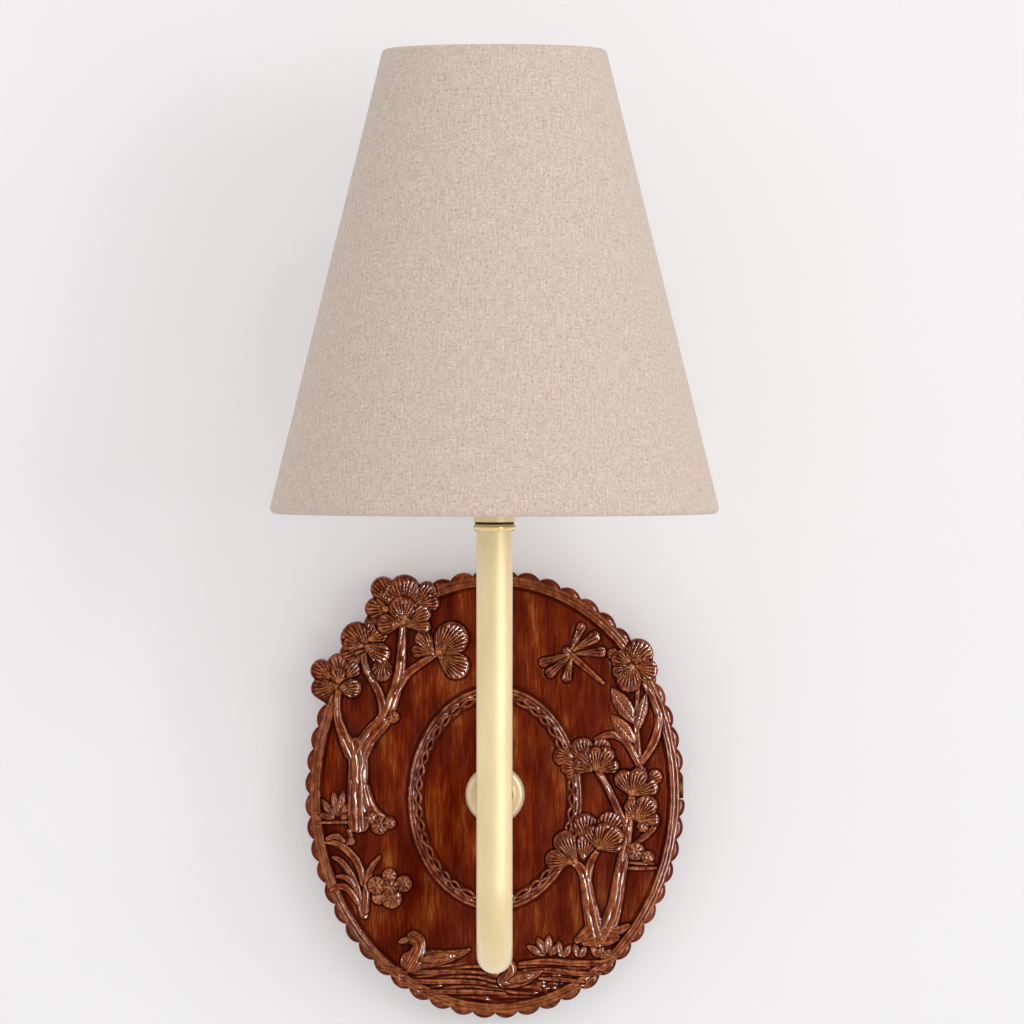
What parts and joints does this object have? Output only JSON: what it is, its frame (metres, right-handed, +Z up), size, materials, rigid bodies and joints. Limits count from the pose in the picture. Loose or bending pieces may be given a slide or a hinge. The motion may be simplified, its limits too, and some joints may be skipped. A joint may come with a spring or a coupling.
{
  "type": "wall sconce",
  "caption": "Wall light with a carved oval wooden backplate, a swan-neck brass tube arm and a tapered linen shade on a screw lampholder.",
  "frame": {"origin": "on the wall plane, behind the arm's rosette, midway between the two wall screws", "axes": "+X to the right, +Y into the wall, +Z up; the light faces -Y"},
  "size_m": [0.178, 0.2094, 0.3898],
  "materials": {
    "carved_wood": "red-brown stain under a semi-gloss varnish",
    "satin_brass": "pale satin brass",
    "polished_brass": "polished",
    "plain_brass": "as turned",
    "zinc_steel": "zinc plated",
    "bronzed_steel": "bronzed",
    "green_screw": "green passivated",
    "dark_fibre": "matt fibre washer",
    "white_plastic": "moulded",
    "black_phenolic": "moulded phenolic",
    "white_ceramic": "unglazed",
    "white_enamel": "white enamelled wire",
    "white_liner": "matt laminate",
    "beige_linen": "coarse linen weave",
    "solder": "dull solder",
    "black_glass": "vitrified",
    "cap_metal": "rolled thread",
    "opal_glass": "opal white",
    "brown_wire": "insulation",
    "blue_wire": "insulation",
    "green_wire": "insulation"
  },
  "bodies": {
    "root": {"crossbar": "zinc_steel", "ground_screw": "green_screw", "ground_lug": "zinc_steel", "backplate": "carved_wood", "side_lock_screw": "bronzed_steel", "nipple": "zinc_steel", "nipple_washer": "zinc_steel", "nipple_nut": "zinc_steel", "rosette": "satin_brass", "rosette_collar": "satin_brass", "terminal_block": "white_plastic", "terminal_barrels": "plain_brass", "terminal_block_screws": "zinc_steel", "terminal_mount_screws": "zinc_steel", "arm_tube": "satin_brass", "arm_base_bush": "plain_brass", "tube_top_bush": "plain_brass", "tube_collar": "polished_brass", "gap_washer": "dark_fibre", "socket_cup": "satin_brass", "lampholder_nipple": "zinc_steel", "lampholder_locknut": "zinc_steel", "lampholder_base": "black_phenolic", "lampholder_body": "black_phenolic", "lampholder_insulator": "white_ceramic", "screw_shell": "plain_brass", "centre_contact": "plain_brass", "terminal_screws": "plain_brass", "live_wire": "brown_wire", "neutral_wire": "blue_wire", "ground_wire": "green_wire"},
    "shade": {"fitter_ring": "white_enamel", "spider_arms": "white_enamel", "shade_bottom_wire": "white_enamel", "shade_top_wire": "white_enamel", "shade_liner": "white_liner", "shade_fabric": "beige_linen"},
    "shade_ring": {"shade_ring": "black_phenolic"},
    "bulb": {"bulb_tip_contact": "solder", "bulb_insulator": "black_glass", "bulb_cap": "cap_metal", "bulb_glass": "opal_glass"}
  },
  "joints": [
    {"name": "shade_turn", "type": "hinge", "parent": "root", "child": "shade", "pos_m": [0, -0.1204, 0.152], "axis": [0, 0, 1], "continuous": true},
    {"name": "shade_ring_turn", "type": "hinge", "parent": "root", "child": "shade_ring", "pos_m": [0, -0.1204, 0.156], "axis": [0, 0, 1], "range_deg": [0, 1080]},
    {"name": "bulb_turn", "type": "hinge", "parent": "root", "child": "bulb", "pos_m": [0, -0.1204, 0.165], "axis": [0, 0, 1], "range_deg": [0, 1080]}
  ]
}
